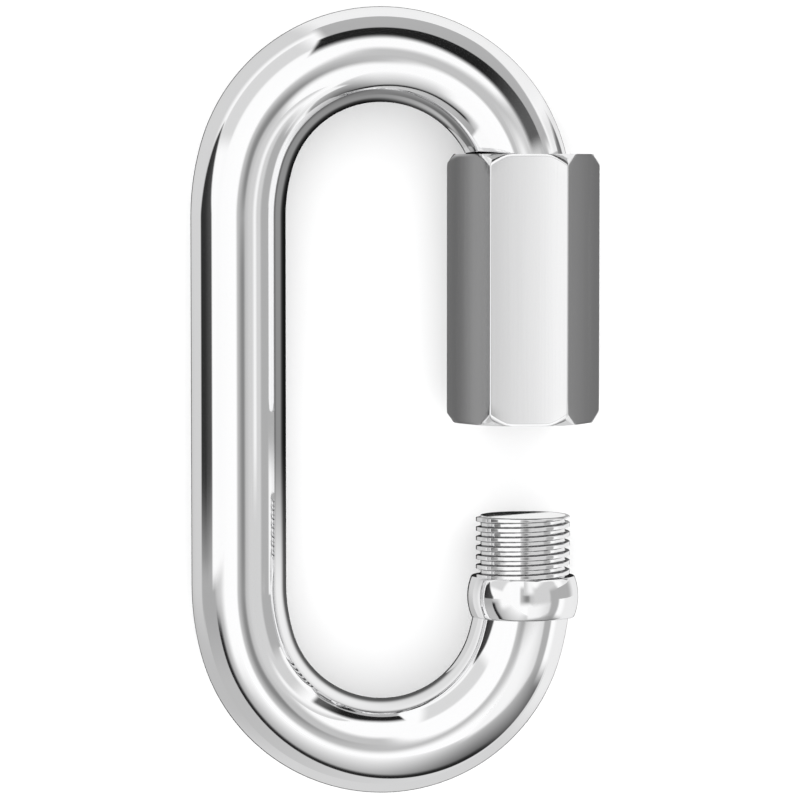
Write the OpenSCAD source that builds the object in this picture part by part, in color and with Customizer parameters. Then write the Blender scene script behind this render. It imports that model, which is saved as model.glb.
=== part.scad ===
// Chain quick link: a round bar bent to a long link and closed by a sleeve nut.
// The link lies flat, +Y along its length, with the nut on the +X side.

/* [Bar] */
// Diameter of the round bar
bar_d = 10; // [8:0.5:12]
// Clear width inside the link, between its two long sides
inside_w = 20; // [16:0.5:26]
// How much smaller the crown's bend radius is than half the width between the bar's axes
crown_ease = 0.35; // [0.1:0.01:0.6]

/* [Thread] */
// How much smaller the thread is than the bar, in diameter
thread_drop = 0.1; // [0.05:0.05:0.4]
// Running clearance between the thread and the nut, and between the closed nut and the collar
thread_clear = 0.05; // [0.02:0.01:0.1]
// Lead-in chamfer on the two threaded ends
lead_in = 0.2; // [0.1:0.05:0.5]

/* [Stub and collar] */
// Length of the threaded stub above the collar
stub_l = 6.4; // [4:0.1:9]
// Length of the collar along the bar
collar_l = 4.3; // [3:0.1:6]
// Height of the collar above the bar at its middle
collar_lip = 0.86; // [0.6:0.02:1.2]
// Height of the collar above the bar at its two edges
collar_edge = 0.44; // [0.3:0.02:0.58]
// Length of straight bar between the start of the lower bow and the collar's seat
collar_rise = 1; // [0.2:0.1:2]

/* [Sleeve nut] */
// Length of the nut
nut_l = 28.2; // [24:0.2:36]
// Opening between the run-back nut and the stub
gate = 9.85; // [7:0.05:14]
// Radial room round the bar in the nut's upper mouth
mouth_room = 1.3; // [0.8:0.05:1.6]
// Wall between the upper mouth and the nut's flats
mouth_wall = 0.7; // [0.6:0.05:2]
// Depth of the chamfer at the nut's corners, across the nut
nut_chamfer = 0.75; // [0.4:0.05:1.2]
// Length of the chamfer at the nut's corners, along the nut
nut_chamfer_l = 1.05; // [0.4:0.05:1.6]
// Countersink of the thread at the nut's lower end
nut_countersink = 0.25; // [0.1:0.05:0.3]
// Depth at which the bar's upper threaded end sits in the run-back nut
end_recess = 1; // [0.2:0.1:3]
// Clearance between the bend and the rim of the run-back nut
bend_clear = 0.2; // [0.1:0.05:0.4]
// How far the nut is run down on its thread: 0 open, 1 closed
nut_closed = 0; // [0:0.05:1]

/* [Hidden] */
$fn = 96;

body_colour = [0.82, 0.82, 0.83];
nut_colour = [0.74, 0.74, 0.75];

// Rounds a length to a thousandth, so that the ends of neighbouring bends fall on the same plane
function fine(v) = round(v * 1000) / 1000;

// Bar and bows, in the plane of the link. Crown and flank are two arcs that meet on the line
// through their centres, and that line has the slope of a triangle of sides 7, 24 and 25.
bar_r = bar_d / 2;
axis_x = fine((inside_w + bar_d) / 2);
flank_ease = 24 * fine(crown_ease);
crown_rise = 7 * fine(crown_ease);
crown_r = axis_x - fine(crown_ease);
flank_r = axis_x + flank_ease;
bow_h = crown_rise + crown_r;
bow_reach = flank_r + bow_h;

// Thread, bore and nut sections
thread_r = bar_r - thread_drop / 2;
bore_r = thread_r + thread_clear;
mouth_r = bar_r + mouth_room;
nut_flats = 2 * (mouth_r + mouth_wall);
nut_corner_r = nut_flats / 2 / cos(30);
nut_end_r = nut_corner_r - nut_chamfer;

// Travel past the start of the bend at which the nut's mouth comes up to the bar
bend_in = axis_x - bar_r;
run_back = fine(sqrt(pow(bend_in, 2) - pow(bend_in - mouth_room + bend_clear, 2)));
mouth_depth = run_back + bend_clear;

// Places along the link, from its middle
side_half = fine((collar_rise + stub_l + gate + nut_l - run_back - bow_h + axis_x) / 2);
bend_y = side_half + bow_h - axis_x;
collar_y = collar_rise - side_half;
stub_y = collar_y + stub_l;
open_y = stub_y + gate;
end_y = open_y + end_recess;
nut_travel = gate + stub_l - thread_clear;
nut_y = open_y - nut_closed * nut_travel;

// Lean of the link as it lies on the long bar and on one flat of the nut
lean = asin((nut_flats / 2 - bar_r) / (2 * axis_x));
lie_z = (nut_flats / 2 + bar_r) / 2;
lie_x = (bar_r - nut_corner_r) / 2;

// Places what is drawn in the plane of the link as the link lies
module as_it_lies() {
    translate([lie_x, 0, lie_z])
        rotate([0, -lean, 0])
            children();
}

// Turns a shape that stands on its own axis to run along +Y from the point x, y
module along_side(x, y) {
    translate([x, y, 0])
        rotate([-90, 0, 0])
            children();
}

// A quarter bend of the bar about the origin, from +X to +Y
module quarter_bend(radius) {
    rotate_extrude(angle = 90)
        translate([radius, 0])
            circle(r = bar_r);
}

// Keeps the part of a bend on one side of the line through the centres of flank and crown
module beside_joint(side) {
    intersection() {
        children();
        translate([-flank_ease, 0, -bar_d])
            linear_extrude(2 * bar_d)
                polygon([[0, 0], [24, 7] * bow_reach / 24, [0, side * bow_reach]]);
    }
}

// One quarter of an eased bow, from the end of the straight side up to the crown
module eased_quarter() {
    beside_joint(-1)
        translate([-flank_ease, 0, 0])
            quarter_bend(flank_r);
    beside_joint(1)
        translate([0, crown_rise, 0])
            quarter_bend(crown_r);
}

// A thread's outer cylinder of length l with a lead-in at its foot
module thread_blank(l) {
    cylinder(h = lead_in, r1 = thread_r - lead_in, r2 = thread_r);
    translate([0, 0, lead_in])
        cylinder(h = l - lead_in, r = thread_r);
}

// The barrel-shaped collar that the closed nut seats on, from its lower edge up
module collar() {
    bulge = collar_lip - collar_edge;
    arc_r = (pow(collar_l / 2, 2) + pow(bulge, 2)) / (2 * bulge);
    rotate_extrude()
        intersection() {
            square([bar_r + collar_lip, collar_l]);
            translate([bar_r + collar_lip - arc_r, collar_l / 2])
                circle(r = arc_r);
        }
}

// The bar goes from the upper threaded end round both bows to the stub. The bend beside the
// nut is a plain quarter circle, so that the thread runs straight up to it, and the other
// three quarters are eased.
module link_body() {
    color(body_colour)
        as_it_lies() {
            translate([0, bend_y, 0])
                quarter_bend(axis_x);
            translate([0, side_half, 0])
                mirror([1, 0, 0])
                    eased_quarter();
            along_side(-axis_x, -side_half)
                cylinder(h = 2 * side_half, r = bar_r);
            translate([0, -side_half, 0])
                rotate([0, 0, 180])
                    eased_quarter();
            translate([0, -side_half, 0])
                mirror([0, 1, 0])
                    eased_quarter();
            along_side(axis_x, -side_half)
                cylinder(h = collar_rise, r = bar_r);
            along_side(axis_x, collar_y - collar_l)
                collar();
            along_side(axis_x, stub_y)
                mirror([0, 0, 1])
                    thread_blank(stub_l);
            along_side(axis_x, end_y)
                thread_blank(bend_y - end_y);
        }
}

// Half section of the cones that trim the hexagon's corners, each run on to twice its depth
module nut_envelope() {
    trim_r = nut_end_r + 2 * nut_chamfer;
    polygon([
        [0, 0],
        [nut_end_r, 0],
        [trim_r, 2 * nut_chamfer_l],
        [trim_r, nut_l - 2 * nut_chamfer_l],
        [nut_end_r, nut_l],
        [0, nut_l]
    ]);
}

// Half section of the nut's bore: countersink, threaded length and wide upper mouth.
// It runs past both ends of the nut.
module nut_bore() {
    mouth_step = mouth_r - bore_r;
    polygon([
        [0, -nut_countersink],
        [bore_r + 2 * nut_countersink, -nut_countersink],
        [bore_r, nut_countersink],
        [bore_r, nut_l - mouth_depth - mouth_step],
        [mouth_r, nut_l - mouth_depth],
        [mouth_r, nut_l + mouth_wall],
        [0, nut_l + mouth_wall]
    ]);
}

module sleeve_nut() {
    color(nut_colour)
        translate([lie_x + axis_x * cos(lean), nut_y, nut_flats / 2])
            rotate([-90, 0, 0])
                difference() {
                    intersection() {
                        cylinder(h = nut_l, r = nut_corner_r, $fn = 6);
                        rotate_extrude()
                            nut_envelope();
                    }
                    rotate_extrude()
                        nut_bore();
                }
}

link_body();
sleeve_nut();
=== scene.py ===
import math

import bpy
import numpy as np
from mathutils import Matrix, Vector


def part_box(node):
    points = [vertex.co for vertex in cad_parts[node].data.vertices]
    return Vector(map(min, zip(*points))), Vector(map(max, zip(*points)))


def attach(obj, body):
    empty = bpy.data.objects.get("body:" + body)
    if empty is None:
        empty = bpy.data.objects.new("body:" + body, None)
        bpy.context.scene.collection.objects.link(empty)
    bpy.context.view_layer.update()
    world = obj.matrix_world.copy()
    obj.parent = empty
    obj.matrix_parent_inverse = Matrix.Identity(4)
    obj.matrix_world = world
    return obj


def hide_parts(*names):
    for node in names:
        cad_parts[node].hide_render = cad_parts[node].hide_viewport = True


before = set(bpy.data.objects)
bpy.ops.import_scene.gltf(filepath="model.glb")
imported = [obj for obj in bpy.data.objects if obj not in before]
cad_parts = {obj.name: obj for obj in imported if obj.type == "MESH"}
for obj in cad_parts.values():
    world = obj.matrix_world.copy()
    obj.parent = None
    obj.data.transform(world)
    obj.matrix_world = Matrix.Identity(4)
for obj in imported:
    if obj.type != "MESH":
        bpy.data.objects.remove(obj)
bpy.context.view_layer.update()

# Sizes in metres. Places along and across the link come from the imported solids' boxes.
BAR_R = 0.005
AXIS_X = 0.015
CROWN_EASE = 0.00035
THREAD_R = 0.00495
THREAD_DEPTH = 0.0005
PITCH = 0.001
THREAD_CLEAR = 0.00005
LEAD_IN = 0.0001
STUB_L = 0.0064
COLLAR_L = 0.0043
COLLAR_LIP = 0.00086
COLLAR_EDGE = 0.00044
GATE = 0.00985
END_RECESS = 0.001
MOUTH_R = 0.0063
MOUTH_DEPTH = 0.00476
NUT_SINK = 0.00025
NUT_CHAMFER = 0.00075
NUT_CHAMFER_L = 0.00105
NUT_CORNER_ROUND = 0.0002
EDGE_BREAK = 0.00004

# The thread's start, as a share of a turn. A flank's foot and its width, as shares of half a
# pitch from the middle of the crest. The lengths, in pitches, over which a thread fades out
# and the bar takes over.
THREAD_START = 0.44
FLANK_FOOT = 0.64
FLANK_WIDTH = 0.24
FADE_OUT = 1.6
TAKE_OVER = 0.3

# Rows in a pitch, and points round the bar
BAR_THREAD_ROWS = 10
STUB_THREAD_ROWS = 24
NUT_THREAD_ROWS = 12
BAR_COLUMNS = 120

TO_MM = 1000
TO_DEGREES = 180 / math.pi

body_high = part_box("link_body")[1]
nut_low, nut_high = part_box("sleeve_nut")

# The link's own plane, which leans because the nut's axis lies higher than the long bar's
nut_axis = np.array([(nut_low.x + nut_high.x) / 2, (nut_low.z + nut_high.z) / 2])
lean = math.asin((nut_axis[1] - BAR_R) / (2 * AXIS_X))
middle_x = nut_axis[0] - AXIS_X * math.cos(lean)
middle_z = nut_axis[1] - AXIS_X * math.sin(lean)
ACROSS = np.array([math.cos(lean), 0, math.sin(lean)])
ALONG = np.array([0, 1, 0])
PROUD = np.array([-math.sin(lean), 0, math.cos(lean)])

# Places along the link, and the bows' radii. The line through the centres of an eased bow's
# crown and flank has the slope of a triangle of sides 7, 24 and 25.
crown_y = body_high.y - BAR_R
crown_rise = 7 * CROWN_EASE
flank_ease = 24 * CROWN_EASE
flank_turn = math.atan2(7, 24)
crown_r = AXIS_X - CROWN_EASE
flank_r = AXIS_X + flank_ease
side_half = crown_y - crown_rise - crown_r
bend_y = crown_y - AXIS_X
nut_l = nut_high.y - nut_low.y
stub_y = nut_low.y - GATE
collar_y = stub_y - STUB_L
foot_y = collar_y - COLLAR_L
end_y = nut_low.y + END_RECESS


def in_link(x, y, n):
    """Points of the link's plane, placed as the link lies.

    x runs across the plane, y along it and n proud of it.
    """
    across, along, proud = (np.asarray(v)[..., None] for v in np.broadcast_arrays(x, y, n))
    return np.array([middle_x, 0, middle_z]) + across * ACROSS + along * ALONG + proud * PROUD


def bar_path(s):
    """Centre-line of the bent bar at length s from its upper threaded end, with the heading
    there, and the lengths at which its stretches start.

    Straights and arcs follow each other, each with the last one's heading. Within one, the
    point lies on the chord from its start: the chord's length is l sin(a) / a and its heading
    is the start's plus a, where l is the length run and a is half the angle turned.
    """
    lengths = np.array([bend_y - end_y, AXIS_X * math.pi / 2,
                        crown_r * (math.pi / 2 - flank_turn), flank_r * flank_turn,
                        2 * side_half, flank_r * flank_turn,
                        crown_r * (math.pi - 2 * flank_turn), flank_r * flank_turn])
    bends = np.array([0, 1 / AXIS_X, 1 / crown_r, 1 / flank_r,
                      0, 1 / flank_r, 1 / crown_r, 1 / flank_r])
    starts = np.concatenate([[0], np.cumsum(lengths)])
    headings = math.pi / 2 + np.concatenate([[0], np.cumsum(lengths * bends)])[:-1]
    half = lengths * bends / 2
    chords = lengths * np.sinc(half / math.pi)
    x0 = AXIS_X + np.concatenate([[0], np.cumsum(chords * np.cos(headings + half))])[:-1]
    y0 = end_y + np.concatenate([[0], np.cumsum(chords * np.sin(headings + half))])[:-1]
    k = np.clip(np.searchsorted(starts, s, side="right") - 1, 0, len(lengths) - 1)
    run = s - starts[k]
    turned = run * bends[k] / 2
    chord = run * np.sinc(turned / math.pi)
    heading = headings[k] + turned
    x, y = x0[k] + chord * np.cos(heading), y0[k] + chord * np.sin(heading)
    return x, y, heading + turned, starts


def tooth(y, angle):
    """Height of the right-hand thread at y and at an angle round its axis, from 0 in the root
    to 1 on the crest.

    The place in the pitch is y over the pitch plus the angle's share of a turn. A flat crest,
    a flat root and two steep flanks follow from the distance to the middle of the crest.
    """
    place = np.mod(y / PITCH + angle / (2 * math.pi) + THREAD_START, 1)
    off_crest = np.abs(place - 0.5) * 2
    return np.clip((FLANK_FOOT - off_crest) / FLANK_WIDTH, 0, 1)


def thread_radius(y, angle, free_end, run_out):
    """Radius of a thread cut in the bar.

    It is the tooth's height above the root, cut by a cone of 45 degrees at the free end, and
    fading out towards run_out, where the cutter leaves the bar and the bar's own radius takes
    over.
    """
    off_end = np.abs(y - run_out) / PITCH
    fade = np.clip(off_end / FADE_OUT, 0, 1)
    fade = fade * fade * (3 - 2 * fade)
    cut = THREAD_R - THREAD_DEPTH * fade * (1 - tooth(y, angle))
    cut = cut + (BAR_R - THREAD_R) * (1 - np.clip(off_end / TAKE_OVER, 0, 1))
    return np.minimum(cut, THREAD_R - LEAD_IN + np.abs(y - free_end))


def closed_skin(name, grid, ring=False, marks=None):
    """A closed mesh over a grid of points (rows, columns, 3) that runs round its columns.

    Each cell is one quad. The first and last row close on a middle point each, or on each
    other for a ring. The sum of the tetrahedra on the origin tells whether the faces point
    outwards, and turns them if not. marks gives a vector for each point of the grid, kept on
    the mesh as the attribute unbent.
    """
    def with_middles(values):
        flat = values.reshape(-1, 3)
        if ring:
            return flat
        return np.concatenate([flat, values[:1].mean(axis=1), values[-1:].mean(axis=1)])

    rows, columns = grid.shape[:2]
    points = with_middles(grid)
    number = np.arange(rows * columns).reshape(rows, columns)
    beside = np.roll(number, -1, axis=1)
    low, low_beside = (number, beside) if ring else (number[:-1], beside[:-1])
    high, high_beside = (np.roll(v, -1, axis=0)[:len(low)] for v in (number, beside))
    quads = np.stack([low, low_beside, high_beside, high], axis=-1).reshape(-1, 4)
    kinds = [quads]
    if not ring:
        middle = np.full(columns, rows * columns)
        kinds.append(np.stack([beside[0], number[0], middle], axis=-1))
        kinds.append(np.stack([number[-1], beside[-1], middle + 1], axis=-1))
    a, b, c, d = (points[quads[:, i]] for i in range(4))
    volume = np.einsum("ij,ij->", a, np.cross(b, c)) + np.einsum("ij,ij->", a, np.cross(c, d))
    order = 1 if volume > 0 else -1
    faces = []
    for kind in kinds:
        faces += kind[:, ::order].tolist()
    mesh = bpy.data.meshes.new(name)
    mesh.from_pydata(points.tolist(), [], faces)
    mesh.shade_smooth()
    if marks is not None:
        attribute = mesh.attributes.new("unbent", "FLOAT_VECTOR", "POINT")
        attribute.data.foreach_set("vector", with_middles(marks).astype(np.float32).ravel())
    return placed(name, mesh)


def placed(name, data):
    """A new object with that mesh or camera, at the origin of the scene."""
    piece = bpy.data.objects.new(name, data)
    bpy.context.scene.collection.objects.link(piece)
    return piece


def between(start, stop, step):
    """Evenly spaced values from start up to, but without, stop, at most a step apart."""
    return np.linspace(start, stop, max(2, math.ceil((stop - start) / step)), endpoint=False)


def bent_bar():
    """The link's body: a round profile carried along the bent bar, and from the collar on
    along the stub's axis.

    A point is the path's point plus the radius times the cosine of the angle outwards in the
    link's plane and the sine of it proud of that plane. The radius is the bar's, or the
    thread's at the two ends. The last rows of the bend slide along the path until they lie in
    the plane of the collar's lower face. The marks are the same points on a straightened bar.
    """
    angle = np.linspace(0, 2 * math.pi, BAR_COLUMNS, endpoint=False)[None]
    starts = bar_path(np.zeros(1))[3]

    def on_path(s, radius):
        x, y, heading, _ = bar_path(s)
        out = radius * np.cos(angle)
        return in_link(x + out * np.sin(heading), y - out * np.cos(heading),
                       radius * np.sin(angle))

    def on_stub(y, radius):
        return in_link(AXIS_X + radius * np.cos(angle), y + 0 * angle, radius * np.sin(angle))

    def straightened(s, radius):
        points = np.broadcast_arrays(radius * np.cos(angle), s, radius * np.sin(angle))
        return np.stack(points, axis=-1)

    # Upper end: the rings of its face, as shares of its radius, then the thread up to the bend
    face = np.array([0.02, 0.5, 0.985])[:, None]
    s_thread = between(0, starts[1], PITCH / BAR_THREAD_ROWS)[:, None]
    r_thread = thread_radius(end_y + s_thread, angle, end_y, bend_y)
    s_list = [np.zeros((3, 1)) + 0 * angle, s_thread + 0 * angle]
    r_list = [face * r_thread[:1], r_thread]

    # Bows and the long side, with plain bar: the length of a row in each stretch
    steps = [0.0006, 0.0006, 0.0007, 0.0035, 0.0007, 0.0006]
    s_bar = np.concatenate([between(starts[i], starts[i + 1], step)
                            for i, step in enumerate(steps, 1)])[:, None]
    s_list.append(s_bar + 0 * angle)

    # End of the lower bow, sliding into the plane of the collar's foot
    drop = -side_half - foot_y
    s_seam = starts[8] - flank_r * np.arcsin(drop / (flank_r + BAR_R * np.cos(angle)))
    share = np.array([0, 0.2, 0.4, 0.6, 0.8, 0.93, 0.99, 1])[:, None]
    s_list.append(starts[7] + share * (s_seam - starts[7]))

    r_list += [np.full(s.shape, BAR_R) for s in s_list[2:]]
    s_all, r_all = np.concatenate(s_list), np.concatenate(r_list)
    bent = on_path(s_all, r_all)

    # Collar: its foot from the seam outwards, the barrel, and its seat inwards to the thread
    bulge = COLLAR_LIP - COLLAR_EDGE
    arc_r = ((COLLAR_L / 2) ** 2 + bulge ** 2) / (2 * bulge)
    edge_r = BAR_R + COLLAR_EDGE
    y_arc = np.linspace(foot_y + 5 * EDGE_BREAK, collar_y - 5 * EDGE_BREAK, 15)
    y_barrel = np.concatenate([[foot_y, foot_y + EDGE_BREAK], y_arc,
                               [collar_y - EDGE_BREAK, collar_y]])[:, None]
    off_middle = y_barrel - (foot_y + collar_y) / 2
    r_barrel = BAR_R + COLLAR_LIP - arc_r + np.sqrt(arc_r ** 2 - off_middle ** 2)
    r_barrel[[0, -1]] = edge_r - EDGE_BREAK
    barrel = on_stub(y_barrel, r_barrel)
    out = np.array([0.06, 0.5, 0.92])[:, None, None]
    foot = bent[-1:] + out * (barrel[:1] - bent[-1:])

    # Stub: its thread goes on down to the collar, so the run-out is put well below, and its face
    y_stub = np.append(between(collar_y, stub_y, PITCH / STUB_THREAD_ROWS), stub_y)[:, None]
    r_stub = thread_radius(y_stub, angle, stub_y, collar_y - 10 * PITCH)
    stub = on_stub(y_stub, r_stub)
    seat = barrel[-1:] + out * (stub[:1] - barrel[-1:])
    r_tip = face[::-1] * r_stub[-1:]
    tip = on_stub(np.full((3, 1), stub_y), r_tip)

    grid = np.concatenate([bent, foot, barrel, seat, stub, tip])
    rest_y = np.concatenate([np.full(3, foot_y), y_barrel[:, 0], np.full(3, collar_y),
                             y_stub[:, 0], np.full(3, stub_y)])[:, None]
    r_edge = np.full((3, 1), edge_r) + 0 * angle
    rest_r = np.concatenate([r_edge, r_barrel + 0 * angle, r_edge, r_stub, r_tip])
    rest_s = starts[8] + side_half + rest_y
    marks = np.concatenate([straightened(s_all, r_all), straightened(rest_s, rest_r)])
    return closed_skin("bent_bar", grid, marks=marks)


def hexagon_outline():
    """Outline of the nut across its axis, with softly rounded corners, as radii and angles.

    A corner is an arc about a point set in from it, from one face's normal to the next one's.
    Each flat is the straight line between two arcs, with two points close to its ends so that
    its shading stays flat.
    """
    apothem = (nut_high.z - nut_low.z) / 2
    inset = (apothem - NUT_CORNER_ROUND) / math.cos(math.pi / 6)
    corners = np.arange(6)[:, None] * math.pi / 3
    swing = np.linspace(-math.pi / 6, math.pi / 6, 9)[None]
    x = inset * np.cos(corners) + NUT_CORNER_ROUND * np.cos(corners + swing)
    z = inset * np.sin(corners) + NUT_CORNER_ROUND * np.sin(corners + swing)
    share = np.concatenate([[0.004], np.linspace(0.06, 0.94, 13), [0.996]])[None]
    flat_x = x[:, -1:] + share * (np.roll(x[:, :1], -1, axis=0) - x[:, -1:])
    flat_z = z[:, -1:] + share * (np.roll(z[:, :1], -1, axis=0) - z[:, -1:])
    x = np.concatenate([x, flat_x], axis=1).ravel()
    z = np.concatenate([z, flat_z], axis=1).ravel()
    return np.hypot(x, z), np.arctan2(z, x)


def sleeve():
    """The sleeve nut: a half section carried round its axis, with the hexagon as its outer
    radius.

    The section runs up the flat, over a cone that is as deep as the hexagon stands out beyond
    the cone's end circle, over the upper end face, down the wide mouth and the threaded bore,
    and out over the countersink and the lower end face.
    """
    outer, angle = (v[None] for v in hexagon_outline())
    end_r = (nut_high.x - nut_low.x) / 2 - NUT_CHAMFER
    proud = outer - end_r
    depth = (proud + np.sqrt(proud ** 2 + (2 * EDGE_BREAK) ** 2)) / 2
    drop = depth * NUT_CHAMFER_L / NUT_CHAMFER
    one = np.ones_like(outer)
    mouth_y = nut_l - MOUTH_DEPTH
    sink_r = THREAD_R + NUT_SINK

    # Rows up the flat, and across a cone or an end face, as shares of its length
    side = np.array([0.012, 0.06, 0.2, 0.4, 0.6, 0.8, 0.94, 0.988])[:, None]
    across = np.array([0.04, 0.5, 0.96])[:, None]
    y_list = [drop + side * (nut_l - 2 * drop)]
    r_list = [outer * np.ones_like(side)]
    # Upper chamfer and end face
    y_list += [nut_l - drop * (1 - across), nut_l * np.ones_like(across) * one]
    r_list += [outer - depth * across,
               (outer - depth) + across * (MOUTH_R + EDGE_BREAK - outer + depth)]
    # Mouth, from its broken edge down to the step's cone
    y_mouth = np.array([nut_l, nut_l - EDGE_BREAK, nut_l - 3 * EDGE_BREAK,
                        nut_l - MOUTH_DEPTH / 2, mouth_y + 2 * EDGE_BREAK, mouth_y])[:, None]
    r_mouth = MOUTH_R + np.array([1, 0, 0, 0, 0, 0])[:, None] * EDGE_BREAK
    y_list.append(y_mouth * one)
    r_list.append(r_mouth * one)
    # Threaded bore: the bar's thread with the running clearance, opening into the step's cone
    # and the countersink. As on the bar, its angle counts from the link's plane.
    step = PITCH / NUT_THREAD_ROWS
    y_bore = np.arange(mouth_y - step, 0, -step)[:, None]
    root = 1 - tooth(nut_low.y + y_bore, angle - lean)
    opened = np.maximum(MOUTH_R - (mouth_y - y_bore), sink_r - y_bore)
    y_list.append(y_bore * one)
    r_list.append(np.maximum(THREAD_R + THREAD_CLEAR - THREAD_DEPTH * root, opened))
    # Lower end face and chamfer
    y_list += [np.zeros_like(across) * one, drop * (1 - across[::-1])]
    r_list += [sink_r + across * (outer - depth - sink_r), outer - depth * across[::-1]]

    y, r = np.concatenate(y_list), np.concatenate(r_list)
    x = nut_axis[0] + r * np.cos(angle)
    z = nut_axis[1] + r * np.sin(angle)
    return closed_skin("sleeve", np.stack([x, nut_low.y + y, z], axis=-1), ring=True)


class Wire:
    """A shader socket that takes part in Python expressions: each operation adds a node."""

    def __init__(self, graph, socket):
        self.graph, self.socket = graph, socket

    def math(self, operation, *others):
        inputs = dict(enumerate((self, *others)))
        return self.graph.add("ShaderNodeMath", {"operation": operation}, inputs)[0]

    def __add__(self, other): return self.math("ADD", other)
    def __radd__(self, other): return self.math("ADD", other)
    def __sub__(self, other): return self.math("SUBTRACT", other)
    def __rsub__(self, other): return (self * -1) + other
    def __mul__(self, other): return self.math("MULTIPLY", other)
    def __rmul__(self, other): return self.math("MULTIPLY", other)
    def __truediv__(self, other): return self.math("DIVIDE", other)
    def __pow__(self, other): return self.math("POWER", other)

    def rise(self, low, high):
        """0 below low, 1 above high, and a smooth step between them."""
        inputs = {"Value": self, "From Min": low, "From Max": high}
        return self.graph.add("ShaderNodeMapRange", {"interpolation_type": "SMOOTHSTEP"},
                              inputs)[0]


class Graph:
    """The node tree of one material or of the world."""

    def __init__(self, tree):
        self.tree = tree
        tree.nodes.clear()

    def add(self, kind, settings=None, inputs=None):
        """A node of that type: its settings first, then the values or links of its sockets.
        Gives its outputs."""
        node = self.tree.nodes.new(kind)
        for key, value in (settings or {}).items():
            setattr(node, key, value)
        for key, value in (inputs or {}).items():
            if isinstance(value, Wire):
                self.tree.links.new(value.socket, node.inputs[key])
            else:
                node.inputs[key].default_value = value
        return [Wire(self, socket) for socket in node.outputs if socket.enabled]


def new_material(name):
    """A new material with its empty graph."""
    material = bpy.data.materials.new(name)
    material.use_nodes = True
    return material, Graph(material.node_tree)


def window(value, low, full, end, high):
    """0 up to low, 1 from full to end, 0 again from high on, and smooth steps between."""
    return value.rise(low, full) * (1 - value.rise(end, high))


def band(value, low, high, soft):
    """1 between low and high, with smooth edges of that softness."""
    return window(value, low - soft, low + soft, high - soft, high + soft)


def over(light, tone, mask):
    """The tone in place of the light, as far as the mask goes."""
    return light + (tone - light) * mask


def polished_steel(name, bent, lines, roughness, relief):
    """Bright polished steel with fine lines drawn along the piece.

    The lines, so many to the metre, are noise that is stretched along the piece's own y. They
    vary the roughness and raise a very low relief. A slower noise makes the polish uneven. On
    the bent bar, place is the attribute unbent, and the flanks of the threads, known by their
    radius, are rougher and are painted darker, as painted shade in the thread's grooves.
    """
    stretch = 90
    bright, dull = (0.95, 0.95, 0.955, 1), (0.91, 0.91, 0.915, 1)
    # Dark colour for the thread flanks: painted shade in the thread's grooves
    flank_shade = (0.16, 0.16, 0.165, 1)

    material, graph = new_material(name)
    if bent:
        place = graph.add("ShaderNodeAttribute", {"attribute_name": "unbent"})[1]
    else:
        place = graph.add("ShaderNodeTexCoord")[3]
    x, y, z = graph.add("ShaderNodeSeparateXYZ", None, {0: place})
    stretched = graph.add("ShaderNodeCombineXYZ", None, {
        0: x * lines, 1: y * (lines / stretch), 2: z * lines})[0]

    def noise(scale, detail):
        return graph.add("ShaderNodeTexNoise", None, {
            "Vector": stretched, "Scale": scale, "Detail": detail})[0]

    def blend(mask, first, second):
        return graph.add("ShaderNodeMix", {"data_type": "RGBA"}, {
            0: mask, 6: first, 7: second})[0]

    fine = noise(1.0, 2.0)
    uneven = noise(0.1, 3.0).rise(0.3, 0.7)
    colour = blend(uneven, bright, dull)
    rough = roughness * (0.6 + 0.5 * uneven + 0.6 * fine.rise(0.35, 0.75))
    if bent:
        radius = (x * x + z * z) ** 0.5 * TO_MM
        root, crest = (THREAD_R - THREAD_DEPTH) * TO_MM, THREAD_R * TO_MM
        # The flanks are painted dark, as painted shade in the thread's grooves, and are made
        # rougher
        flank = band(radius, root + 0.05, crest - 0.05, 0.03)
        colour = blend(flank, colour, flank_shade)
        rough = rough + 0.2 * flank
    raised = graph.add("ShaderNodeBump", None, {
        "Strength": 1.0, "Distance": relief, "Height": fine})[0]
    surface = graph.add("ShaderNodeBsdfPrincipled", None, {
        "Base Color": colour, "Metallic": 1.0, "Roughness": rough, "Normal": raised})
    graph.add("ShaderNodeOutputMaterial", None, {"Surface": surface[0]})
    return material


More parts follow.
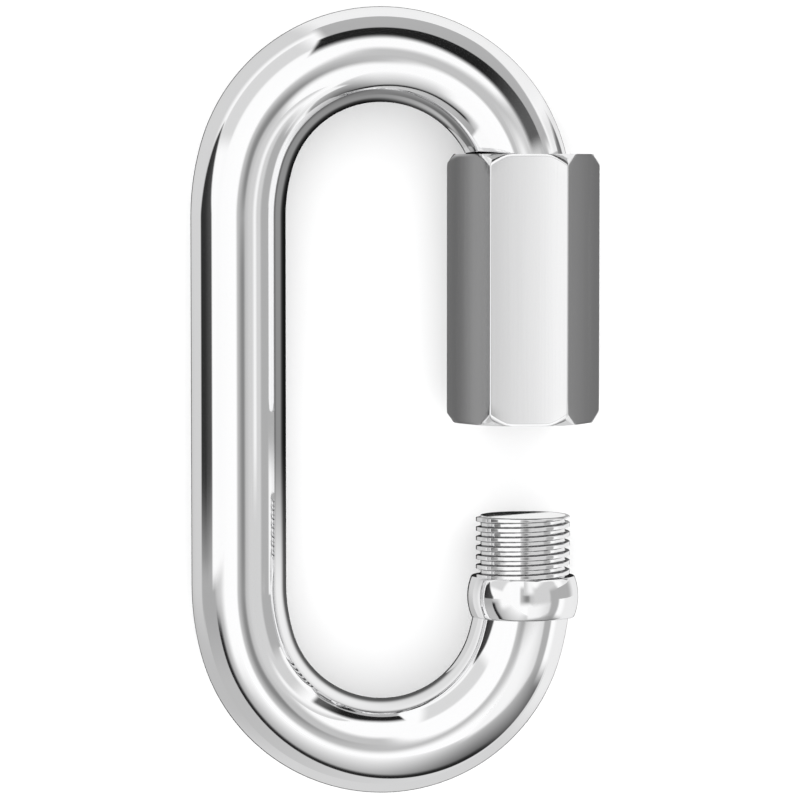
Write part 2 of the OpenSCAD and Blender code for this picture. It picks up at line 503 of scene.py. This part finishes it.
def studio():
    """The studio round the link, by direction: a white ceiling and a pale floor, with grey and
    dark panels.

    polar is the angle from straight up, around is the angle from +X towards +Y and behind is
    the angle from -X towards +Y, all in degrees. A panel is a product of smooth steps in these
    angles, and takes the place of what lies behind it. Light 1 is white.
    """
    plain_light = 1.65
    white, pale, mid_grey, grey, black = 1.04, 0.73, 0.67, 0.44, 0.02

    world = bpy.data.worlds.new("studio")
    bpy.context.scene.world = world
    world.use_nodes = True
    graph = Graph(world.node_tree)
    direction = graph.add("ShaderNodeTexCoord")[0]
    x, y, z = graph.add("ShaderNodeSeparateXYZ", None, {0: direction})
    polar = z.math("ARCCOSINE") * TO_DEGREES
    around = y.math("ARCTAN2", x) * TO_DEGREES
    behind = y.math("ARCTAN2", x * -1) * TO_DEGREES

    # Pale floor under the horizon, and the white ceiling
    floor_light = (0.68 + 0.24 * band(around, 25, 113, 5) + 0.2 * band(around, -42, 25, 12)
                   - 0.15 * band(around, -168, -128, 14))
    light = over(floor_light, white, 1 - polar.rise(85, 99))
    # Grey panels over the nut's side, a low one beyond the gate, and one beyond the upper bow
    light = over(light, mid_grey, band(around, -48, 42, 8) * window(polar, 9, 15, 70, 78))
    light = over(light, grey, band(around, -38, 16, 6) * band(polar, 55, 77, 3.5))
    light = over(light, grey, band(around, -4.3, 14, 0.3) * window(polar, 70, 76, 105, 130))
    light = over(light, pale, band(around, 118, 163, 4) * window(polar, 46, 53, 80, 86))
    # Dark wedge beyond the long bar, with a grey panel before it
    height = (polar - 86.2).math("ABSOLUTE") + behind.math("MAXIMUM", 0.0) * 0.72
    inside = 1 - height.rise(15, 20)
    light = over(light, grey, band(behind, -14, 2, 4) * inside)
    light = over(light, 0.03 + 0.05 * (1 - polar.rise(70, 92)),
                 window(behind, -6.5, -4.5, 22.5, 25.5) * inside)
    # Shade straight down
    light = over(light, black, (polar + 8 * band(around, -135, -35, 15)).rise(157, 166))

    # The panels show only in the polished steel. The floor gets plain, even light.
    mirrored = graph.add("ShaderNodeLightPath")[3]
    plain = graph.add("ShaderNodeBackground", None, {
        "Color": (1, 1, 1, 1), "Strength": plain_light})[0]
    panels = graph.add("ShaderNodeBackground", None, {"Color": light, "Strength": 1.0})[0]
    shine = graph.add("ShaderNodeMixShader", None, {0: mirrored, 1: plain, 2: panels})
    graph.add("ShaderNodeOutputWorld", None, {"Surface": shine[0]})


def card(name, grid, paint):
    """A card of the studio that shows only in the polished steel, over a grid of points with a
    quad in each cell.

    paint gives the card's light and its cover from the place in millimetres. Where the cover
    is 0 the card lets through what lies behind it.
    """
    rows, columns = grid.shape[:2]
    number = np.arange(rows * columns).reshape(rows, columns)
    quads = np.stack([number[:-1, :-1], number[:-1, 1:], number[1:, 1:], number[1:, :-1]],
                     axis=-1)
    mesh = bpy.data.meshes.new(name)
    mesh.from_pydata(grid.reshape(-1, 3).tolist(), [], quads.reshape(-1, 4).tolist())
    piece = placed(name, mesh)
    for ray in ("camera", "diffuse", "transmission", "volume_scatter", "shadow"):
        setattr(piece, "visible_" + ray, False)
    material, graph = new_material(name)
    material.cycles.emission_sampling = "NONE"
    place = graph.add("ShaderNodeTexCoord")[3]
    x, y, z = graph.add("ShaderNodeSeparateXYZ", None, {0: place})
    light, cover = paint(x * TO_MM, y * TO_MM, z * TO_MM)
    glow = graph.add("ShaderNodeEmission", None, {"Color": light, "Strength": 1.0})[0]
    clear = graph.add("ShaderNodeBsdfTransparent")[0]
    mixed = graph.add("ShaderNodeMixShader", None, {0: cover, 1: clear, 2: glow})
    graph.add("ShaderNodeOutputMaterial", None, {"Surface": mixed[0]})
    mesh.materials.append(material)


def level(x0, x1, y0, y1, z):
    """Corners of a level rectangle, given in millimetres."""
    x, y = np.array([[x0, x1]]) / TO_MM, np.array([[y0], [y1]]) / TO_MM
    return np.stack(np.broadcast_arrays(x, y, z / TO_MM), axis=-1)


def wall(middle_y, radius, start, stop, height):
    """Points of a round wall about an upright axis at middle_y, all in millimetres: the angle
    round the axis, in degrees, by the height."""
    angle = np.radians(np.linspace(start, stop, 60))[None]
    x = middle_x + radius / TO_MM * np.cos(angle)
    y = (middle_y + radius * np.sin(angle)) / TO_MM
    z = np.linspace(0, height / TO_MM, 3)[:, None]
    return np.stack(np.broadcast_arrays(x, y, z), axis=-1)


def turn_about(middle_y, x, y):
    """Angle in degrees round a wall's upright axis, from +X towards +Y, at a place in
    millimetres."""
    return (y - middle_y).math("ARCTAN2", x - middle_x * TO_MM) * TO_DEGREES


def eye_shade_card():
    """A dark card in the link's eye, in the plane of the bar, which the nut's inner flat and
    the rims reflect. It is painted shade: it stands in for the shaded floor in the eye.

    It is a plain rectangle whose edges and corners end inside the bar. Its light falls off
    with the distance from a line along the middle of the eye, as painted shade that is darkest
    next to the bar.
    """
    left, right, half_length, half_line = -10.2, 6.6, 31.6, 21.85

    def paint(x, y, z):
        ends = (y.math("ABSOLUTE") - half_line).math("MAXIMUM", 0.0)
        across = x - middle_x * TO_MM
        off = (across * across + ends * ends) ** 0.5
        # Painted shade of the floor in the eye: darkest next to the bar all round, a little
        # lighter on the long bar's side and lighter towards the eye's lower end
        light = 0.147 + 0.14 * (1 - x.rise(-4.6, 1.6)) + 0.02 * x.rise(2, 4)
        light = light * (1 - 0.8 * off.rise(7.0, 8.6))
        light = light + 0.62 * (1 - y.rise(-22, -4))
        light = light + 0.38 * y.rise(25.5, 27.5) * x.rise(-4, 4)
        return light * (1 - 0.85 * off.rise(8.0, 9.3)), 1.0

    x = np.array([[left, right]]) / TO_MM
    y = np.array([[-half_length], [half_length]]) / TO_MM
    card("eye_shade_card", in_link(x, y, 0), paint)


def level_cards():
    """Level cards: a bright one above the nut's front flat, a pale one above the lower bow, a
    grey one on the floor beside the nut, a grey opening high above the link, and one on the
    floor under the gate, dark next to the stub's end as painted shade on the floor there."""
    stub_end = stub_y * TO_MM

    def ceiling(x, y, z):
        cover = window(x, 10.5, 12.5, 23, 33) * band(y, -13, 33, 6)
        return 0.67 + 0.31 * x.rise(12.5, 22.5), cover

    def pale(x, y, z):
        cover = window(x, 15, 22, 70, 90) * window(y, -72, -58, -38, -26)
        return 0.97 - 0.2 * x.rise(30, 75), cover

    def side(x, y, z):
        cover = band(x, 27.5, 43, 1.2) * band(y, -11, 35, 3)
        return 0.165 + 0.09 * x.rise(30, 38), cover

    def opening(x, y, z):
        deep = window(x, -45, 36, 46, 90) * window(y, -110, -40, 2, 30)
        cover = window(x, -62, -28, 120, 190) * window(y, -140, -50, 80, 165)
        return over(0.56 + 0.1 * x.rise(80, 150), 0.25, deep), cover

    def gate(x, y, z):
        # Painted shade: dark in a strip next to the stub's end, pale beyond it
        line = y - (stub_end + 0.5 - 0.075 * (x - 14))
        return 0.02 + 0.9 * line.rise(-0.03, 0.03), 1.0

    card("ceiling_card", level(10, 34, -20, 40, 55), ceiling)
    card("pale_card", level(14, 95, -75, -22, 55), pale)
    card("side_card", level(26, 45, -15, 39, 0.5), side)
    card("opening_card", level(-80, 210, -160, 180, 340), opening)
    card("gate_shade_card", level(7, 20, stub_end + 0.02, stub_end + 3, 0.3), gate)


def upper_wall():
    """A round wall beyond the upper bow: grey at its foot, with a dark strip above that fades
    upwards."""
    middle_y, radius, height = 30, 50, 85

    def paint(x, y, z):
        turn = turn_about(middle_y, x, y)
        above = z.rise(26.6, 28.4)
        fading = 58 + 9 * (1 - turn.rise(56, 95))
        slant = turn - 0.28 * (z - 28)
        strip = turn.rise(6, 14) * (1 - slant.rise(116, 119))
        strip = strip * (1 - z.rise(fading - 13, fading + 13))
        base = 15 * (1 - turn.rise(14, 66)) - 2.5
        foot = window(turn, 4, 12, 113, 118) * z.rise(base - 2, base + 2)
        dark = 0.014 + 0.1 * (1 - turn.rise(15, 50))
        return over(0.46, dark, above), over(foot, strip, above)

    card("upper_wall", wall(middle_y, radius, start=4, stop=136, height=height), paint)


def lower_wall():
    """A round wall beyond the lower bow: grey above a slanting dark line, and paler towards
    its top."""
    middle_y, radius, height = -22, 70, 165

    def paint(x, y, z):
        turn = turn_about(middle_y, x, y)
        right = turn.rise(-100, -60)
        left = 1 - turn.rise(-160, -136)
        rise = z - (41 - 32 * turn.rise(-145, -50))
        share = (rise.math("MAXIMUM", 0.0) / 110) ** (0.55 + 0.35 * right)
        light = (0.22 - 0.18 * right) + (0.78 - 0.02 * right) * share
        light = over(light, 0.5 + 0.5 * share, 1 - turn.rise(-176, -165))
        line = window(turn, -172, -164, -62, -48) * (1 - rise.rise(3, 13))
        light = over(light + 0.1 * turn.rise(-60, -38), 0.018, line)
        below = 0.42 + 0.1 * turn.rise(-172, -150) + 0.2 * turn.rise(-150, -60)
        light = over(below, light, rise.rise(-4, -2))
        head = (84 - 1.45 * (turn + 60)).math("MINIMUM", 150.0)
        cover = (1 - z.rise(head - 6, head + 9)) * (1 - left * rise.rise(14, 48))
        return light, cover * window(turn, -179, -176, -32, -20)

    card("lower_wall", wall(middle_y, radius, start=-179, stop=-14, height=height), paint)


def lay_floor():
    """A plain pale floor, one square about the origin, which the polished steel does not
    reflect."""
    half = 2.0
    corners = [(-half, -half, 0), (half, -half, 0), (half, half, 0), (-half, half, 0)]
    mesh = bpy.data.meshes.new("floor")
    mesh.from_pydata(corners, [], [(0, 1, 2, 3)])
    floor = placed("floor", mesh)
    floor.visible_glossy = False
    paint, graph = new_material("floor_paint")
    matt = graph.add("ShaderNodeBsdfDiffuse", None, {"Color": (0.9, 0.9, 0.9, 1)})
    graph.add("ShaderNodeOutputMaterial", None, {"Surface": matt[0]})
    mesh.materials.append(paint)


def set_camera():
    """The camera, above the link and a little towards its long bar and its upper bow.

    Its focal length is the sensor's width times the distance over the width that the picture
    shows at the target.
    """
    target = Vector((0.00049, 0.00015, 0.0061))
    distance, sensor, shown = 0.43, 36, 0.08436
    back = Vector((-0.0245, 0.026, distance)).normalized()
    right = Vector((0, 1, 0)).cross(back).normalized()
    facing = Matrix((right, back.cross(right), back)).transposed().to_4x4()
    lens = bpy.data.cameras.new("camera")
    lens.sensor_width = sensor
    lens.lens = sensor * distance / shown
    lens.clip_start = 0.01
    lens.clip_end = 20
    camera = placed("camera", lens)
    camera.matrix_world = Matrix.Translation(target + back * distance) @ facing
    bpy.context.scene.camera = camera
    bpy.context.scene.view_settings.view_transform = "Standard"


bar = bent_bar()
bar.data.materials.append(polished_steel(
    "polished_bar", bent=True, lines=3000, roughness=0.045, relief=0.0000004))
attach(bar, "link")
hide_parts("link_body")

nut = sleeve()
nut.data.materials.append(polished_steel(
    "polished_nut", bent=False, lines=4000, roughness=0.11, relief=0.0000012))
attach(nut, "nut")
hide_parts("sleeve_nut")

studio()
eye_shade_card()
level_cards()
upper_wall()
lower_wall()
lay_floor()
set_camera()
